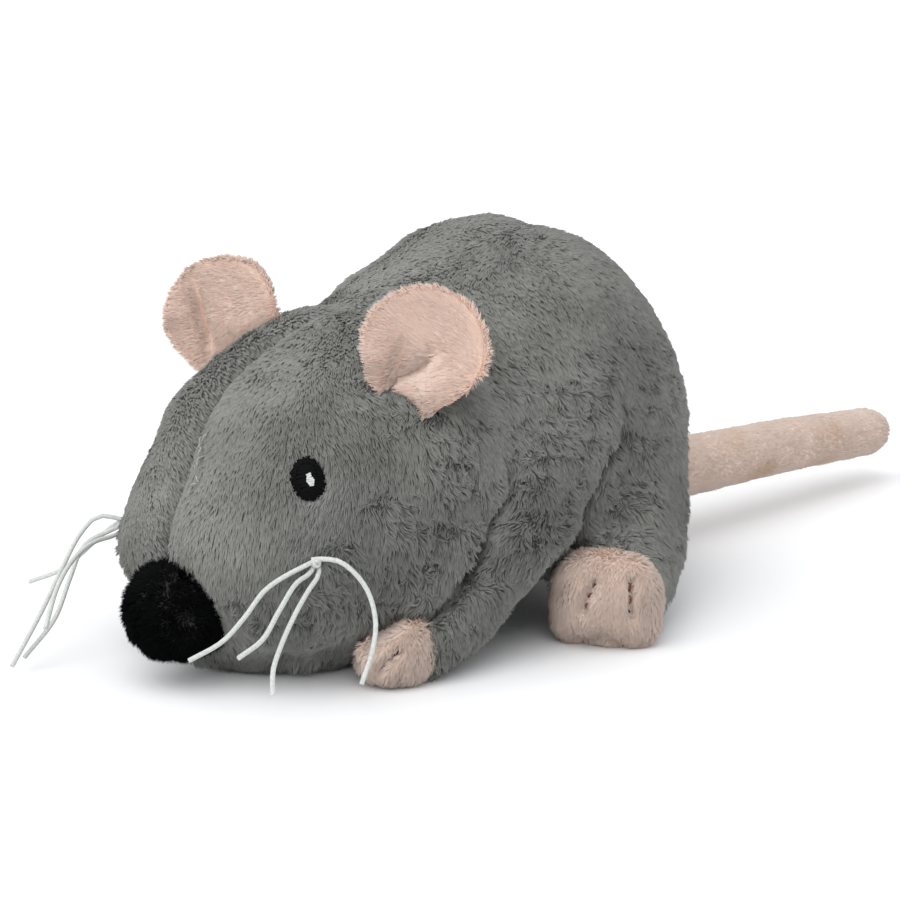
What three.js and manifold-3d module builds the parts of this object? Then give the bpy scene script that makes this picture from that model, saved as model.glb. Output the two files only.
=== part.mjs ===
// A stuffed plush mouse that lies on its chin and its four paws, with its tail stretched out behind it.
// Millimetres, +Z up. The mouse looks along -Y, its left side is +X, and the floor is Z = 0.
// Each solid is the outer shape of one sewn piece, out to the tips of its pile.
import * as THREE from 'three';
import Module from 'manifold-3d';
import { mergeVertices } from 'three/addons/utils/BufferGeometryUtils.js';

const wasm = await Module();
wasm.setup();

// ---------- Driving sizes ----------
const gap = 0.3; // left between pieces that touch

// How finely each shape is faceted.
const facets = {
  body: { rings: 18, sides: 30 },
  limb: { rings: 12, sides: 14 },
  sleeveRings: 5,
  tailRings: 9,
  nose: [16, 10],
  ear: [18, 8],
  eye: [12, 6],
  knot: [8, 6],
  hollow: [12, 8],
};

// Head: a blunt wedge along an axis that runs from the muzzle up and back to the neck.
// Each pair is a place along that axis and the size there.
const headTilt = THREE.MathUtils.degToRad(28);
const muzzle = new THREE.Vector3(0, -12, 14); // front end of the head's axis
const headLength = 76;
const headTop = smooth([
  [0, 14], [5, 15.5], [11, 19], [22, 25], [35, 28.8], [52, 28.2], [62, 26.5], [76, 20],
]);
const headBottom = smooth([[0, 22], [8, 27.5], [24, 30.5], [40, 28.5], [56, 23], [76, 15]]);
const headHalfWidth = smooth([[0, 23], [6, 25], [20, 30], [34, 34], [48, 35.5], [60, 34], [76, 28]]);
const neckAt = 42; // the head ends on this upright plane
// How square the section is, then how deep each rounded end is and how square its rounding.
const headEnds = { square: 2.15, front: [9, 2.4], back: [14, 2] };

// Trunk: a loaf that grows higher and wider towards the haunches. The pairs start from Y = 0.
const trunkFront = 20;
const trunkLength = 97;
const trunkWaist = 31; // height of its widest level
const trunkBottom = 6;
const trunkTop = smooth([
  [20, 61], [34, 66.2], [45, 69], [58, 73.5], [72, 79], [85, 77], [100, 67], [117, 50],
]);
const trunkHalfWidth = smooth([[20, 30], [43, 34], [62, 38], [82, 38.2], [98, 34.4], [117, 29.5]]);
const trunkEnds = { square: 2.35, front: [26, 2], back: [36, 2.25] };

// Limbs, on the left side: their routes from the body to the toes, and their radii at shares of the route.
const forelegRoute = [[15, 70, 49], [24, 57, 38], [28.4, 42.6, 23.2], [29.2, 28.4, 9], [28.2, 6.8, 5.8]];
const forelegRadius = smooth([[0, 13], [0.35, 14.4], [0.58, 10.7], [0.8, 8.2], [1, 7.2]]);
const forelegCuts = { shoulder: 0.36, cuff: 0.85 };
const hindlegRoute = [[16, 87, 36], [24, 83.5, 24], [33, 73.5, 12], [45, 56.4, 7.7]];
const hindlegRadius = smooth([[0, 16], [0.4, 15.8], [0.7, 12.5], [1, 11.4]]);
const hindlegCuts = { shoulder: 0.3, cuff: 0.85 };
const pawRounding = 9;
const lastRingShare = 0.998; // a rounded limb's last ring stops just short of its tip
const sleeveFat = 1.5; // how far a leg's cut stays outside the leg
const seamShare = 0.006; // share of a leg's route left open between two of its pieces

const tailRoute = [[0, 100, 17.6], [0, 134, 15.7], [0, 172, 14.1], [0, 209, 11.5]];
const tailRadius = smooth([[0, 7.6], [1, 5.9]]);
const tailRounding = 5;

const noseRadius = 10.3;
const noseCentre = [0, -13.9, 14.6];

const earRadius = 13.4;
const earThickness = 5;
const earCup = 3.5; // how far the rim stands forward of the middle
const earPinch = 0.25; // share of its width that an ear loses at its root
const earFold = { depth: 2.6, width: 0.22 }; // the width is a share of the radius
const ears = {
  left: { centre: [28, 25, 62.5], turn: 32, lean: -14, roll: 18 },
  right: { centre: [-27, 24.5, 61], turn: 22, lean: -10, roll: -14 },
};

// A hollow on each flank, between the foreleg's shoulder and the haunch.
const flankHollow = { centre: [45, 69, 21], size: [11, 9, 25], lean: 25 };

const eyeSize = [6, 2.4, 8]; // across, deep and high
const eyePlace = { at: [21.8, 0, 41.6], turn: 41, lean: -27, roll: -12 };

// Whiskers: four free ends of thread from a knot on each cheek, which hang by these routes.
const threadDiameter = 1.1;
const threadSides = 8;
const threadStep = 3; // diameters between two rings of a thread
const knotRadius = 1.6;
const whiskers = {
  left: {
    knot: [26.6, -3.5, 27.2],
    strands: [
      [[26.9, -5.7, 27], [25.4, -8.7, 25.6], [22.7, -11.7, 22.8], [20, -14.4, 17.6],
        [17.6, -17.9, 13.1], [15.4, -24.1, 10.4]],
      [[27.4, -5, 25.5], [28.3, -9, 24.8], [31.8, -16.8, 21.7], [34.8, -23.6, 18.6], [35.6, -30, 16.9]],
      [[28, -3.2, 25.2], [29.6, -7.4, 23.2], [32.4, -13.5, 20.4], [34.4, -18.8, 16.2],
        [35.8, -22, 12.6], [37.2, -23.4, 8.8]],
      [[28.3, -2.6, 28], [31.3, -0.7, 27.6], [34.7, 2.2, 23], [37.2, 2.3, 17.2],
        [38.5, 0.2, 12], [38.8, -2.9, 6.4]],
    ],
  },
  right: {
    knot: [-26.6, -3.9, 24.4],
    strands: [
      [[-27.4, -5.6, 25.7], [-30, -7.8, 25.8], [-32, -10.6, 22.4], [-31.5, -15, 17.6],
        [-28, -23.7, 10.4], [-23.6, -34.6, 2.8]],
      [[-28.6, -4.2, 23.9], [-32, -5, 21.2], [-40.4, -5.6, 14.4], [-45, -5.5, 11.3], [-54, -6.2, 7.2]],
      [[-27, -6, 23.6], [-29.4, -11.6, 21], [-28.8, -16, 15.1], [-26.8, -21.6, 8.6], [-26.6, -29.4, 2.6]],
      [[-25.6, -6.9, 22.8], [-25.6, -12.4, 22.4], [-24, -18.8, 20.6], [-21.4, -25, 16.8],
        [-18, -30.8, 10.6]],
    ],
  },
};

// ---------- Curves and solids ----------
// A smooth function through [position, value] pairs, level beyond its ends.
function smooth(pairs) {
  const slope = (i) => {
    const a = pairs[Math.max(i - 1, 0)];
    const b = pairs[Math.min(i + 1, pairs.length - 1)];
    return (b[1] - a[1]) / (b[0] - a[0]);
  };
  return (position) => {
    const last = pairs.length - 1;
    if (position <= pairs[0][0]) return pairs[0][1];
    if (position >= pairs[last][0]) return pairs[last][1];
    const i = pairs.findIndex((pair) => pair[0] > position) - 1;
    const [x0, y0] = pairs[i];
    const [x1, y1] = pairs[i + 1];
    const step = x1 - x0;
    const t = (position - x0) / step;
    return y0 * (2 * t ** 3 - 3 * t ** 2 + 1) + slope(i) * step * (t ** 3 - 2 * t ** 2 + t)
      + y1 * (3 * t ** 2 - 2 * t ** 3) + slope(i + 1) * step * (t ** 3 - t ** 2);
  };
}

// How much of its full size a body has at some depth behind its rounded end.
function rounding(depth, reach, power) {
  const short = 1 - Math.min(depth / reach, 1);
  return (1 - short ** power) ** (1 / power);
}

// A closed skin over rings of points, each ring counterclockwise seen from the far end.
function skin(rings, nearTip, farTip) {
  const sides = rings[0].length;
  const points = rings.flat().concat([nearTip, farTip]);
  const near = points.length - 2;
  const far = points.length - 1;
  const lastRing = (rings.length - 1) * sides;
  const faces = [];
  for (let s = 0; s < sides; s++) {
    const next = (s + 1) % sides;
    for (let r = 0; r < rings.length - 1; r++) {
      const a = r * sides;
      const b = a + sides;
      faces.push(a + s, a + next, b + next, a + s, b + next, b + s);
    }
    faces.push(near, next, s, far, lastRing + s, lastRing + next);
  }
  const geometry = new THREE.BufferGeometry();
  const numbers = points.flatMap((p) => p.toArray());
  geometry.setAttribute('position', new THREE.Float32BufferAttribute(numbers, 3));
  geometry.setIndex(faces);
  return geometry;
}

function solid(geometry) {
  const bare = geometry.clone();
  bare.deleteAttribute('normal');
  bare.deleteAttribute('uv');
  const merged = mergeVertices(bare, 1e-4);
  return new wasm.Manifold(new wasm.Mesh({
    numProp: 3,
    vertProperties: merged.attributes.position.array,
    triVerts: new Uint32Array(merged.index.array),
  }));
}

// The largest piece of a cut solid, as a geometry.
function geometryOf(manifold) {
  const pieces = manifold.decompose().sort((a, b) => b.volume() - a.volume());
  const cut = pieces[0].getMesh();
  const geometry = new THREE.BufferGeometry();
  geometry.setAttribute('position', new THREE.Float32BufferAttribute(cut.vertProperties, 3));
  geometry.setIndex(Array.from(cut.triVerts));
  return geometry;
}

// One closed body along a tilted axis in the YZ plane, with a soft-cornered section and rounded ends.
function loaf({ origin, tilt, length, halfWidth, top, bottom, square, front, back, grow }) {
  const { rings, sides } = facets.body;
  const along = new THREE.Vector3(0, Math.cos(tilt), Math.sin(tilt));
  const up = new THREE.Vector3(0, -Math.sin(tilt), Math.cos(tilt));
  const soften = (c) => Math.sign(c) * Math.abs(c) ** (2 / square);
  const place = (at, x, h) => {
    const p = origin.clone().addScaledVector(along, at).addScaledVector(up, h);
    return new THREE.Vector3(x, p.y, Math.max(p.z, 0));
  };
  const list = [];
  for (let r = 1; r < rings; r++) {
    const at = (length * (1 - Math.cos((Math.PI * r) / rings))) / 2;
    const round = rounding(at, ...front) * rounding(length - at, ...back);
    const ring = [];
    for (let s = 0; s < sides; s++) {
      const turn = (2 * Math.PI * s) / sides;
      const height = Math.sin(turn) > 0 ? top(at) : bottom(at);
      ring.push(place(at, soften(Math.cos(turn)) * (halfWidth(at) * round + grow),
        soften(Math.sin(turn)) * (height * round + grow)));
    }
    list.push(ring.reverse());
  }
  return solid(skin(list, place(-grow, 0, 0), place(length + grow, 0, 0)));
}

const headShape = (grow) => loaf({
  origin: muzzle,
  tilt: headTilt,
  length: headLength,
  halfWidth: headHalfWidth,
  top: headTop,
  bottom: headBottom,
  ...headEnds,
  grow,
}).trimByPlane([0, -1, 0], -(neckAt + grow));

const trunkShape = (grow) => loaf({
  origin: new THREE.Vector3(0, trunkFront, trunkWaist),
  tilt: 0,
  length: trunkLength,
  halfWidth: (at) => trunkHalfWidth(at + trunkFront),
  top: (at) => trunkTop(at + trunkFront) - trunkWaist,
  bottom: () => trunkWaist - trunkBottom,
  ...trunkEnds,
  grow,
});

// A limb along a route, from one share of its length to another. At the route's far end it is rounded off.
function limb({ route, radius, round, from = 0, to = 1, fat = 0, rings = facets.limb.rings }) {
  const { sides } = facets.limb;
  const curve = new THREE.CatmullRomCurve3(route.map((p) => new THREE.Vector3(...p)));
  const side = new THREE.Vector3();
  const up = new THREE.Vector3();
  const list = [];
  for (let r = 0; r <= rings; r++) {
    const step = to === 1 ? Math.sin(((Math.PI / 2) * r) / rings) * lastRingShare : r / rings;
    const share = from + (to - from) * step;
    const centre = curve.getPointAt(share);
    const ahead = curve.getTangentAt(share);
    side.crossVectors(ahead, new THREE.Vector3(0, 0, 1)).normalize();
    up.crossVectors(side, ahead);
    const size = (radius(share) + fat) * rounding((1 - share) * curve.getLength(), round, 2);
    const ring = [];
    for (let s = 0; s < sides; s++) {
      const turn = (2 * Math.PI * s) / sides;
      const p = centre.clone()
        .addScaledVector(side, Math.cos(turn) * size)
        .addScaledVector(up, Math.sin(turn) * size);
      p.z = Math.max(p.z, 0);
      ring.push(p);
    }
    list.push(ring.reverse());
  }
  return solid(skin(list, curve.getPointAt(from), curve.getPointAt(to)));
}

// ---------- Pieces ----------
const mouse = new THREE.Group();
mouse.position.y = -(noseCentre[1] - noseRadius + tailRoute.at(-1)[1]) / 2; // the origin is under the middle
const colours = { grey: 0x73756f, pink: 0xdcbcac, black: 0x101114, white: 0xe9e7e2 };

function add(name, shape, colour) {
  const geometry = geometryOf(shape);
  geometry.computeVertexNormals();
  const material = new THREE.MeshStandardMaterial({ color: colours[colour], roughness: 0.95, metalness: 0 });
  const mesh = new THREE.Mesh(geometry, material);
  mesh.name = name;
  mouse.add(mesh);
  return mesh;
}

function addPair(name, shape, colour) {
  add(`${name}_left`, shape, colour);
  add(`${name}_right`, shape, colour).scale.x = -1;
}

function turned(geometry, { turn, lean, roll }) {
  const { degToRad } = THREE.MathUtils;
  return geometry.rotateY(degToRad(roll)).rotateX(degToRad(lean)).rotateZ(degToRad(turn));
}

// Ears: cupped discs, pinched towards the root by a fold.
function ear(side, grow) {
  const { centre, turn, lean, roll } = ears[side];
  const disc = new THREE.SphereGeometry(1, ...facets.ear);
  disc.scale(earRadius + grow, earThickness / 2 + grow, earRadius + grow);
  const place = disc.attributes.position;
  for (let i = 0; i < place.count; i++) {
    const x = place.getX(i) / earRadius;
    const z = place.getZ(i) / earRadius;
    const low = Math.max(-z, 0);
    const fold = earFold.depth * low * Math.exp(-((x / earFold.width) ** 2));
    place.setX(i, x * earRadius * (1 - earPinch * low));
    place.setY(i, place.getY(i) - earCup * (x * x + 0.4 * z * z) + fold);
  }
  return solid(turned(disc, { turn, lean, roll }).translate(...centre));
}

// Eyes: flat ovals of thread that lie in the pile.
function eye(grow) {
  const oval = new THREE.SphereGeometry(1, ...facets.eye);
  oval.scale(...eyeSize.map((size) => size / 2 + grow));
  return solid(turned(oval, eyePlace).translate(...eyePlace.at));
}

// A free end of thread along its route.
function thread(route) {
  const curve = new THREE.CatmullRomCurve3(route.map((p) => new THREE.Vector3(...p)));
  const section = new THREE.Shape();
  for (let s = 0; s < threadSides; s++) {
    const turn = (2 * Math.PI * s) / threadSides;
    const corner = [Math.cos(turn), Math.sin(turn)].map((c) => (threadDiameter / 2) * c);
    section[s ? 'lineTo' : 'moveTo'](...corner);
  }
  const steps = Math.ceil(curve.getLength() / (threadStep * threadDiameter));
  return solid(new THREE.ExtrudeGeometry(section, { steps, extrudePath: curve, bevelEnabled: false }));
}

const rightHalf = (shape) => shape.mirror([1, 0, 0]);
const hollow = solid(new THREE.SphereGeometry(1, ...facets.hollow)
  .scale(...flankHollow.size)
  .rotateX(THREE.MathUtils.degToRad(-flankHollow.lean))
  .translate(...flankHollow.centre));
const nose = solid(new THREE.SphereGeometry(noseRadius, ...facets.nose).translate(...noseCentre));
const bothEyes = eye(gap).add(rightHalf(eye(gap)));
const headGrown = headShape(gap);
const foreleg = { route: forelegRoute, radius: forelegRadius, round: pawRounding };
const hindleg = { route: hindlegRoute, radius: hindlegRadius, round: pawRounding };

// The trunk with its four legs, as one shape, from which the legs are then parted.
function torso(grow) {
  const fat = grow;
  const legs = limb({ ...foreleg, fat }).add(limb({ ...hindleg, fat }));
  const loin = trunkShape(grow).subtract(hollow).subtract(rightHalf(hollow));
  return loin.add(legs).add(rightHalf(legs)).subtract(headGrown);
}

const whole = torso(0);
const wholeGrown = torso(gap);

// A leg and its paw, parted from the torso by a fat sleeve round the leg, and the room that they take.
function parted(leg, { shoulder, cuff }) {
  const sleeve = (from, to, fat) => limb({ ...leg, from, to, fat, rings: facets.sleeveRings });
  const roomFat = sleeveFat + 2 * gap;
  return {
    upper: whole.intersect(sleeve(shoulder + seamShare, cuff, sleeveFat)),
    paw: whole.intersect(sleeve(cuff + seamShare, 1, sleeveFat)),
    room: sleeve(shoulder, cuff, roomFat).add(sleeve(cuff, 1, roomFat)),
  };
}

const fore = parted(foreleg, forelegCuts);
const hind = parted(hindleg, hindlegCuts);
const legRoom = fore.room.add(hind.room);
const behindForeleg = (shape) => shape.subtract(fore.room);
const body = headGrown.add(wholeGrown);
const tail = limb({ route: tailRoute, radius: tailRadius, round: tailRounding, rings: facets.tailRings });

add('head', headShape(0).subtract(bothEyes), 'grey');
add('trunk', whole.subtract(legRoom).subtract(rightHalf(legRoom)), 'grey');
addPair('foreleg', fore.upper, 'grey');
addPair('forepaw', fore.paw, 'pink');
addPair('hindleg', behindForeleg(hind.upper), 'grey');
addPair('hindpaw', behindForeleg(hind.paw), 'pink');
add('nose', nose.subtract(headGrown), 'black');
addPair('eye', eye(0), 'black');
add('ear_left', ear('left', 0).subtract(body), 'pink');
add('ear_right', ear('right', 0).subtract(body), 'pink');
add('tail', tail.subtract(wholeGrown), 'pink');
for (const [side, { knot, strands }] of Object.entries(whiskers)) {
  const ball = solid(new THREE.SphereGeometry(knotRadius, ...facets.knot).translate(...knot));
  add(`whisker_knot_${side}`, ball.subtract(headGrown), 'white');
  strands.forEach((route, i) => add(`whisker_${side}_${i + 1}`, thread(route), 'white'));
}

export default mouse;
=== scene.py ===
import math

import bpy
import numpy as np
from mathutils import Matrix, Vector, kdtree
from mathutils.bvhtree import BVHTree


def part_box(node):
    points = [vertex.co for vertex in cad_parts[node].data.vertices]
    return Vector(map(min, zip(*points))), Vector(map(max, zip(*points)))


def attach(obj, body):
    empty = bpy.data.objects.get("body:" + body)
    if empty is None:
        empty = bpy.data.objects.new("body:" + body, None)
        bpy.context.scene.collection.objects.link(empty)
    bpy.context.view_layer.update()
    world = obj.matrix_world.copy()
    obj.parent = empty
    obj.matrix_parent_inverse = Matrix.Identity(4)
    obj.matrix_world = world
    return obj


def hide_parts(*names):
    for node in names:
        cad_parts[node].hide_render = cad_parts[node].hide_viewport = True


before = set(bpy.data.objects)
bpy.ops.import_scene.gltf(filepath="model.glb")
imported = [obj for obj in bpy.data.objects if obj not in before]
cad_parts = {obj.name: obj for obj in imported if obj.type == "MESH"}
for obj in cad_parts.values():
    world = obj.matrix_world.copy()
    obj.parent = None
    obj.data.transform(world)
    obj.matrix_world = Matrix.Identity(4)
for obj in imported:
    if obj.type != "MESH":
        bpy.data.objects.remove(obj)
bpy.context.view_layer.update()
bpy.ops.object.select_all(action="DESELECT")

mm = 0.001
tailTip = 209  # places are millimetres on the mouse's own drawing, whose tail ends here along Y
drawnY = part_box("tail")[1].y / mm - tailTip


# Places and routes
def spots(places):
    # places on the drawing, as points of the frame in metres
    return (np.asarray(places, float) + [0, drawnY, 0]) * mm


def drawn(points):
    return points / mm - [0, drawnY, 0]


def unit(vectors):
    return vectors / np.maximum(np.linalg.norm(vectors, axis=-1, keepdims=True), 1e-9)


def smoothRoute(places, count):
    # a smooth curve through the places, as points evenly spaced along it
    places = np.asarray(places, float)
    knots = np.vstack([2 * places[0] - places[1], places, 2 * places[-1] - places[-2]])
    share = np.linspace(0, 1, 24, endpoint=False)[:, None]
    line = []
    for before, start, end, after in zip(knots, knots[1:], knots[2:], knots[3:]):
        a = np.linalg.norm(start - before) ** 0.5
        b = np.linalg.norm(end - start) ** 0.5
        c = np.linalg.norm(after - end) ** 0.5
        leaving = ((start - before) / a - (end - before) / (a + b) + (end - start) / b) * b
        arriving = ((end - start) / b - (after - start) / (b + c) + (after - end) / c) * b
        line.append(start * (2 * share**3 - 3 * share**2 + 1) + leaving * (share**3 - 2 * share**2 + share)
                    + end * (3 * share**2 - 2 * share**3) + arriving * (share**3 - share**2))
    line = np.vstack([*line, places[-1:]])
    run = np.concatenate([[0], np.cumsum(np.linalg.norm(np.diff(line, axis=0), axis=1))])
    even = np.linspace(0, run[-1], count)
    return np.stack([np.interp(even, run, line[:, axis]) for axis in range(3)], axis=1)


def mirrored(points):
    # the same places, all on the left side
    return np.column_stack([np.abs(points[:, 0]), points[:, 1:]])


def routeLength(points):
    return float(np.linalg.norm(np.diff(points, axis=0), axis=1).sum())


def nearestOn(points, line):
    # how far each point is from a line of straight steps, and the nearest place on that line
    nearest, places = np.full(len(points), 1e9), np.array(points)
    for start, end in zip(line, line[1:]):
        step = end - start
        share = np.clip((points - start) @ step / (step @ step), 0, 1)
        spot = start + share[:, None] * step
        away = np.linalg.norm(points - spot, axis=1)
        closer = away < nearest
        nearest[closer], places[closer] = away[closer], spot[closer]
    return nearest, places


bank = {"ends": 6, "leastAtEnds": 0.3, "step": 0.9, "raisedReach": 1.3, "overhang": 0.7, "pinchReach": 2}


def foldIn(points, normals, folds, flip=(1, 1, 1), strength=1):
    # presses each fold into the surface and draws its two banks together; a depth below nothing is a puff;
    # a fold with a lap has one bank that is raised and hangs over the other
    moved = points.copy()
    for fold in folds:
        line = smoothRoute(fold["route"], 30) * flip
        away, places = nearestOn(points, line)
        fromEnd = np.minimum(*(np.linalg.norm(places - end, axis=1) for end in (line[0], line[-1])))
        least = 0 if "over" in fold else bank["leastAtEnds"]
        share = strength * (least + (1 - least) * fade(fromEnd, 0, bank["ends"]))
        way = unit(np.array(fold["along"]) * flip) if "along" in fold else normals
        pressed = share * fold["depth"] * np.exp(-(away / fold["width"]) ** 2)
        if "over" in fold:
            over = unit(np.array(fold["over"]) * flip)
            below = fade((points - places) @ over, -bank["step"], bank["step"])
            near = np.exp(-(away / fold["width"] / bank["raisedReach"]) ** 2)
            raised = share * fold["lap"] * (1 - below) * near
            moved += raised[:, None] * (normals + bank["overhang"] * over)
            pressed *= below
        moved -= pressed[:, None] * way
        across = places - points
        across -= (across * normals).sum(axis=1, keepdims=True) * normals
        drawnIn = share * fold.get("pinch", 0) * np.exp(-(away / fold["width"] / bank["pinchReach"]) ** 2)
        moved += drawnIn[:, None] * across
    return moved


def waves(points, size, seed):
    # three smooth values from about -1 to 1 at each point; size is in millimetres
    rng = np.random.default_rng(seed)
    headings = unit(rng.normal(size=(18, 3)))
    lengths = size * rng.uniform(0.7, 1.4, 18)
    turns = points @ (headings / lengths[:, None]).T * 2 * math.pi + rng.uniform(0, 2 * math.pi, 18)
    return np.sin(turns).reshape(-1, 6, 3).sum(axis=1) / 2.2


def fade(value, start, end):
    # a smooth step from 0 at the start to 1 at the end
    share = np.clip((value - start) / (end - start), 0, 1)
    return share * share * (3 - 2 * share)


# Camera, light and floor
view = {"target": (0, -0.0474, 0.035), "azimuth": 45, "elevation": 14, "distance": 0.6,
        "lens": 120, "shift": (0.0592, 0.0011)}
azimuth, elevation = math.radians(view["azimuth"]), math.radians(view["elevation"])
towards = Vector((math.sin(azimuth) * math.cos(elevation), -math.cos(azimuth) * math.cos(elevation),
                  math.sin(elevation)))
bpy.ops.object.camera_add(location=Vector(view["target"]) + towards * view["distance"],
                          rotation=towards.to_track_quat("Z", "Y").to_euler())
camera = bpy.context.object
camera.data.lens = view["lens"]
camera.data.sensor_width = 36
camera.data.shift_x, camera.data.shift_y = view["shift"]
camera.data.clip_start = 0.02
bpy.context.scene.camera = camera
bpy.context.scene.view_settings.view_transform = "Standard"

# one wide soft light in front and overhead, in a pale room
light = {"at": (0.1, -0.62, 0.78), "strength": 2.1, "angle": 70, "room": 0.92}
aim = Vector(light["at"]).to_track_quat("Z", "Y").to_euler()
bpy.ops.object.light_add(type="SUN", location=light["at"], rotation=aim)
lamp = bpy.context.object
lamp.name = "overhead_light"
lamp.data.energy = light["strength"]
lamp.data.angle = math.radians(light["angle"])

world = bpy.data.worlds.new("pale_room")
bpy.context.scene.world = world
world.use_nodes = True
world.node_tree.nodes["Background"].inputs["Color"].default_value = (0.95, 0.97, 1, 1)
world.node_tree.nodes["Background"].inputs["Strength"].default_value = light["room"]

bpy.ops.mesh.primitive_circle_add(vertices=64, radius=6, fill_type="NGON", location=(0, 0, 0))
floor = bpy.context.object
floor.name = "floor"
print("stage set")


# Materials
def linear(*colour):
    # a screen colour of 0 to 255, as linear values with full alpha
    shares = [value / 255 for value in colour]
    return [((share + 0.055) / 1.055) ** 2.4 if share > 10 / 255 else share / 12.92 for share in shares] + [1]


def newMaterial(name):
    material = bpy.data.materials.new(name)
    material.use_nodes = True
    return material, material.node_tree, material.node_tree.nodes["Principled BSDF"]


def addNode(tree, kind, **values):
    node = tree.nodes.new(kind)
    for key, value in values.items():
        if hasattr(node, key):
            setattr(node, key, value)
        else:
            node.inputs[key].default_value = value
    return node


def blendColours(tree, blendType, share, first, second):
    # a colour mix whose share and colours are sockets or fixed values
    mix = tree.nodes.new("ShaderNodeMix")
    mix.data_type = "RGBA"
    mix.blend_type = blendType
    for socket, value in ((mix.inputs[0], share), (mix.inputs[6], first), (mix.inputs[7], second)):
        if isinstance(value, bpy.types.NodeSocket):
            tree.links.new(value, socket)
        else:
            socket.default_value = value
    return mix.outputs[2]


def noiseValue(tree, scale, detail=2, distortion=0):
    place = tree.nodes.new("ShaderNodeTexCoord")
    noise = addNode(tree, "ShaderNodeTexNoise", Scale=scale, Detail=detail, Distortion=distortion)
    tree.links.new(place.outputs["Object"], noise.inputs["Vector"])
    return noise.outputs[0]


def remap(tree, value, low, high, newLow, newHigh):
    node = tree.nodes.new("ShaderNodeMapRange")
    tree.links.new(value, node.inputs["Value"])
    for key, number in (("From Min", low), ("From Max", high), ("To Min", newLow), ("To Max", newHigh)):
        node.inputs[key].default_value = number
    return node.outputs["Result"]


def makePatches():
    # light and dark patches where the pile has been brushed different ways
    group = bpy.data.node_groups.new("brushedPatches", "ShaderNodeTree")
    group.interface.new_socket("Colour", in_out="INPUT", socket_type="NodeSocketColor")
    group.interface.new_socket("Strength", in_out="INPUT", socket_type="NodeSocketFloat")
    group.interface.new_socket("Colour", in_out="OUTPUT", socket_type="NodeSocketColor")
    given = group.nodes.new("NodeGroupInput")
    result = group.nodes.new("NodeGroupOutput")
    broad = remap(group, noiseValue(group, 60, 2), 0.3, 0.7, 0, 1)
    fine = remap(group, noiseValue(group, 330, 2), 0.3, 0.7, 0, 1)
    both = blendColours(group, "MIX", 0.3, broad, fine)
    colour, strength = given.outputs["Colour"], given.outputs["Strength"]
    darker = blendColours(group, "MULTIPLY", strength, colour, (0.8, 0.8, 0.8, 1))
    paler = blendColours(group, "SCREEN", strength, colour, (0.1, 0.1, 0.1, 1))
    group.links.new(blendColours(group, "MIX", both, darker, paler), result.inputs["Colour"])
    return group


brushedPatches = makePatches()


def stained(tree, colour, share):
    # faint brownish marks on the tail's far half
    place = tree.nodes.new("ShaderNodeTexCoord")
    split = tree.nodes.new("ShaderNodeSeparateXYZ")
    tree.links.new(place.outputs["Object"], split.inputs[0])
    behind = remap(tree, split.outputs["Y"], 0.045, 0.062, 0, share)
    marks = remap(tree, noiseValue(tree, 75, 1), 0.52, 0.66, 0, 1)
    mask = blendColours(tree, "MULTIPLY", 1, behind, marks)
    return blendColours(tree, "MULTIPLY", mask, colour, (0.78, 0.66, 0.46, 1))


def plush(name, root, tip, patch, sheen, tones=(0.94, 1.05), rough=0.9, gloss=0.15, stain=0):
    # pile painted dark at the root, as painted shade deep in the pile, and pale at the tip, each tuft with a
    # tone of its own
    material, tree, shader = newMaterial(name)
    up = addNode(tree, "ShaderNodeAttribute", attribute_name="tipShare").outputs["Fac"]
    own = addNode(tree, "ShaderNodeAttribute", attribute_name="tone").outputs["Fac"]
    # the colour goes from the root colour, which is painted shade deep in the pile, to the tip colour along
    # each tuft
    shaded = blendColours(tree, "MIX", remap(tree, up, 0, 1, 0, 1), linear(*root), linear(*tip))
    toned = blendColours(tree, "MULTIPLY", 1, shaded, remap(tree, own, 0, 1, *tones))
    patches = tree.nodes.new("ShaderNodeGroup")
    patches.node_tree = brushedPatches
    patches.inputs["Strength"].default_value = patch
    tree.links.new(stained(tree, toned, stain) if stain else toned, patches.inputs["Colour"])
    tree.links.new(patches.outputs["Colour"], shader.inputs["Base Color"])
    uneven = remap(tree, noiseValue(tree, 900), 0.3, 0.7, rough - 0.08, rough + 0.06)
    tree.links.new(uneven, shader.inputs["Roughness"])
    shader.inputs["Specular IOR Level"].default_value = gloss
    shader.inputs["Sheen Weight"].default_value = sheen
    shader.inputs["Sheen Roughness"].default_value = 0.45
    return material


def backing(name, colour, shade, stain=0):
    # the cloth under the pile, which shows between the tufts; the grey one is painted dark there, as painted
    # shade in the gaps
    material, tree, shader = newMaterial(name)
    mottle = remap(tree, noiseValue(tree, 1600, 3), 0.3, 0.7, 0, 1)
    coloured = blendColours(tree, "MIX", mottle, linear(*shade), linear(*colour))
    patches = tree.nodes.new("ShaderNodeGroup")
    patches.node_tree = brushedPatches
    patches.inputs["Strength"].default_value = 0.6
    tree.links.new(stained(tree, coloured, stain) if stain else coloured, patches.inputs["Colour"])
    tree.links.new(patches.outputs["Colour"], shader.inputs["Base Color"])
    tree.links.new(remap(tree, mottle, 0, 1, 0.85, 0.97), shader.inputs["Roughness"])
    bump = addNode(tree, "ShaderNodeBump", Strength=0.5, Distance=0.0004)
    tree.links.new(noiseValue(tree, 2200, 2, 0.6), bump.inputs["Height"])
    tree.links.new(bump.outputs["Normal"], shader.inputs["Normal"])
    shader.inputs["Specular IOR Level"].default_value = 0.1
    return material


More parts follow.
